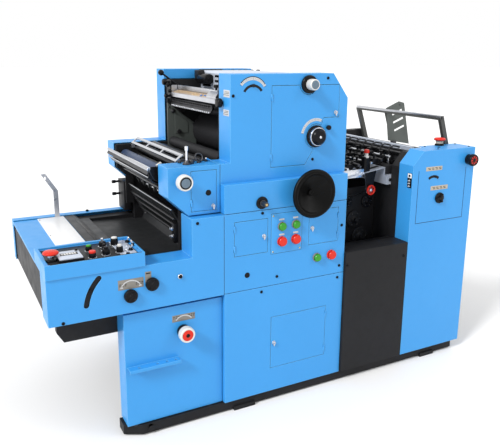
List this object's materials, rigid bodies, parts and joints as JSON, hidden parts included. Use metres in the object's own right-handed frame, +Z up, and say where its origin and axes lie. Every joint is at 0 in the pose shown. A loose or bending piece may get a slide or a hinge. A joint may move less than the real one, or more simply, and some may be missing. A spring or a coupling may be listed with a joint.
{
  "type": "small offset printing press",
  "caption": "Sheet-fed offset press: printing tower with handwheel and doors, low delivery with control console, feeder column with pile space.",
  "frame": {"origin": "on the floor, under the middle of the printing tower and of the press width", "axes": "+X along the press from the delivery to the feeder, -Y towards the operator, +Z up"},
  "size_m": [2.264, 1.075, 1.525],
  "materials": {
    "blue_paint": "gloss",
    "black_paint": "satin",
    "charcoal_paint": "satin",
    "guard_paint": "satin",
    "plate_paint": "satin",
    "bright_steel": "brushed",
    "black_plastic": "gloss",
    "white_plastic": "gloss",
    "red_plastic": "gloss",
    "green_plastic": "gloss"
  },
  "bodies": {
    "press": {"base_frame": "black_paint", "tower_frames": "black_paint", "delivery_frames": "black_paint", "feeder_frames": "black_paint", "lower_cover_near": "blue_paint", "middle_cover_near": "blue_paint", "band_cover_near": "blue_paint", "upper_cover_near": "blue_paint", "lower_cover_far": "blue_paint", "upper_cover_far": "blue_paint", "delivery_cover_near": "blue_paint", "delivery_cover_far": "blue_paint", "cabinet_near": "blue_paint", "cabinet_far": "blue_paint", "damping_cover_near": "blue_paint", "damping_cover_far": "blue_paint", "console_box": "blue_paint", "delivery_top_plate": "blue_paint", "delivery_end_panel": "black_paint", "delivery_board": "black_paint", "bent_bracket": "bright_steel", "lower_panels": "charcoal_paint", "feeder_cover_near": "blue_paint", "feeder_cover_far": "blue_paint", "feed_board": "bright_steel", "feeder_cross_bars": "bright_steel", "feeder_guard": "guard_paint", "pile_plate": "plate_paint", "pile_front_plate": "black_paint", "pile_table": "bright_steel", "damping_tray": "bright_steel", "damping_guard": "bright_steel", "ink_trough": "bright_steel", "ink_roller_guard": "bright_steel"},
    "handwheel": {"handwheel": "black_plastic"},
    "plate_cylinder": {"plate_cylinder": "bright_steel"},
    "upper_door": {"upper_door": "blue_paint"},
    "damping_door": {"damping_door": "blue_paint"},
    "middle_left_door": {"middle_left_door": "blue_paint"},
    "middle_right_door": {"middle_right_door": "blue_paint"},
    "lower_door": {"lower_door": "blue_paint"},
    "damping_knob": {"damping_knob": "white_plastic"},
    "upper_knob": {"upper_knob": "white_plastic"},
    "impression_dial": {"impression_dial": "black_plastic"},
    "cabinet_switch": {"cabinet_switch": "white_plastic"},
    "delivery_knob_left": {"delivery_knob_left": "black_plastic"},
    "delivery_knob_right": {"delivery_knob_right": "black_plastic"},
    "feeder_knob": {"feeder_knob": "black_plastic"},
    "feeder_dial": {"feeder_dial": "black_plastic"},
    "feeder_handwheel": {"feeder_handwheel": "red_plastic"},
    "console_stop": {"console_stop": "red_plastic"},
    "feeder_stop": {"feeder_stop": "red_plastic"},
    "start_button_left": {"start_button_left": "green_plastic"},
    "start_button_right": {"start_button_right": "green_plastic"},
    "stop_button_left": {"stop_button_left": "red_plastic"},
    "stop_button_right": {"stop_button_right": "red_plastic"},
    "inching_button": {"inching_button": "green_plastic"},
    "emergency_button": {"emergency_button": "red_plastic"},
    "ink_lever": {"ink_lever": "black_plastic"}
  },
  "joints": [
    {"name": "handwheel_turn", "type": "hinge", "parent": "press", "child": "handwheel", "pos_m": [0.092, -0.54, 1.008], "axis": [0, 1, 0], "continuous": true},
    {"name": "plate_cylinder_turn", "type": "hinge", "parent": "press", "child": "plate_cylinder", "pos_m": [-0.03, 0, 1.205], "axis": [0, 1, 0], "continuous": true},
    {"name": "upper_door_turn", "type": "hinge", "parent": "press", "child": "upper_door", "pos_m": [-0.072, -0.453, 1.3], "axis": [0, 0, -1], "range_deg": [0, 110]},
    {"name": "damping_door_turn", "type": "hinge", "parent": "press", "child": "damping_door", "pos_m": [-0.45, -0.453, 1.048], "axis": [0, 0, -1], "range_deg": [0, 85]},
    {"name": "middle_left_door_turn", "type": "hinge", "parent": "press", "child": "middle_left_door", "pos_m": [-0.269, -0.493, 0.826], "axis": [0, 0, -1], "range_deg": [0, 110]},
    {"name": "middle_right_door_turn", "type": "hinge", "parent": "press", "child": "middle_right_door", "pos_m": [0.272, -0.493, 0.832], "axis": [0, 0, 1], "range_deg": [0, 110]},
    {"name": "lower_door_turn", "type": "hinge", "parent": "press", "child": "lower_door", "pos_m": [0.22, -0.493, 0.3], "axis": [0, 0, 1], "range_deg": [0, 110]},
    {"name": "damping_knob_turn", "type": "hinge", "parent": "press", "child": "damping_knob", "pos_m": [-0.497, -0.48, 1.1], "axis": [0, -1, 0], "range_deg": [-150, 150]},
    {"name": "upper_knob_turn", "type": "hinge", "parent": "press", "child": "upper_knob", "pos_m": [0.113, -0.48, 1.478], "axis": [0, -1, 0], "range_deg": [-150, 150]},
    {"name": "impression_dial_turn", "type": "hinge", "parent": "press", "child": "impression_dial", "pos_m": [0.157, -0.475, 1.247], "axis": [0, -1, 0], "range_deg": [-120, 120]},
    {"name": "cabinet_switch_turn", "type": "hinge", "parent": "press", "child": "cabinet_switch", "pos_m": [-0.505, -0.5, 0.447], "axis": [0, -1, 0], "range_deg": [-135, 135]},
    {"name": "delivery_knob_left_turn", "type": "hinge", "parent": "press", "child": "delivery_knob_left", "pos_m": [-0.736, -0.5, 0.658], "axis": [0, -1, 0], "range_deg": [-135, 135]},
    {"name": "delivery_knob_right_turn", "type": "hinge", "parent": "press", "child": "delivery_knob_right", "pos_m": [-0.645, -0.5, 0.693], "axis": [0, -1, 0], "range_deg": [-135, 135]},
    {"name": "feeder_knob_turn", "type": "hinge", "parent": "press", "child": "feeder_knob", "pos_m": [0.892, -0.515, 0.897], "axis": [0, -1, 0], "range_deg": [-135, 135]},
    {"name": "feeder_dial_turn", "type": "hinge", "parent": "press", "child": "feeder_dial", "pos_m": [1.078, -0.53, 1.083], "axis": [0, -1, 0], "range_deg": [-135, 135]},
    {"name": "feeder_handwheel_turn", "type": "hinge", "parent": "press", "child": "feeder_handwheel", "pos_m": [0.594, -0.33, 0.93], "axis": [0, -1, 0], "continuous": true},
    {"name": "ink_lever_turn", "type": "hinge", "parent": "press", "child": "ink_lever", "pos_m": [-0.201, 0.304, 1.438], "axis": [0, 1, 0], "range_deg": [-30, 18]},
    {"name": "console_stop_press", "type": "slide", "parent": "press", "child": "console_stop", "axis": [0, 0, -1], "range_m": [0, 0.004], "stiffness_N_per_m": 4000, "springref_m": -0.002},
    {"name": "feeder_stop_press", "type": "slide", "parent": "press", "child": "feeder_stop", "axis": [0, 0, -1], "range_m": [0, 0.004], "stiffness_N_per_m": 4000, "springref_m": -0.002},
    {"name": "start_button_left_press", "type": "slide", "parent": "press", "child": "start_button_left", "axis": [0, 1, 0], "range_m": [0, 0.004], "stiffness_N_per_m": 1000, "springref_m": -0.001},
    {"name": "start_button_right_press", "type": "slide", "parent": "press", "child": "start_button_right", "axis": [0, 1, 0], "range_m": [0, 0.004], "stiffness_N_per_m": 1000, "springref_m": -0.001},
    {"name": "stop_button_left_press", "type": "slide", "parent": "press", "child": "stop_button_left", "axis": [0, 1, 0], "range_m": [0, 0.004], "stiffness_N_per_m": 1000, "springref_m": -0.001},
    {"name": "stop_button_right_press", "type": "slide", "parent": "press", "child": "stop_button_right", "axis": [0, 1, 0], "range_m": [0, 0.004], "stiffness_N_per_m": 1000, "springref_m": -0.001},
    {"name": "inching_button_press", "type": "slide", "parent": "press", "child": "inching_button", "axis": [0, 1, 0], "range_m": [0, 0.004], "stiffness_N_per_m": 1000, "springref_m": -0.001},
    {"name": "emergency_button_press", "type": "slide", "parent": "press", "child": "emergency_button", "axis": [0, 1, 0], "range_m": [0, 0.004], "stiffness_N_per_m": 1000, "springref_m": -0.001}
  ],
  "couplings": [
    {"joint": "plate_cylinder_turn", "follows": "handwheel_turn", "ratio": -1}
  ]
}
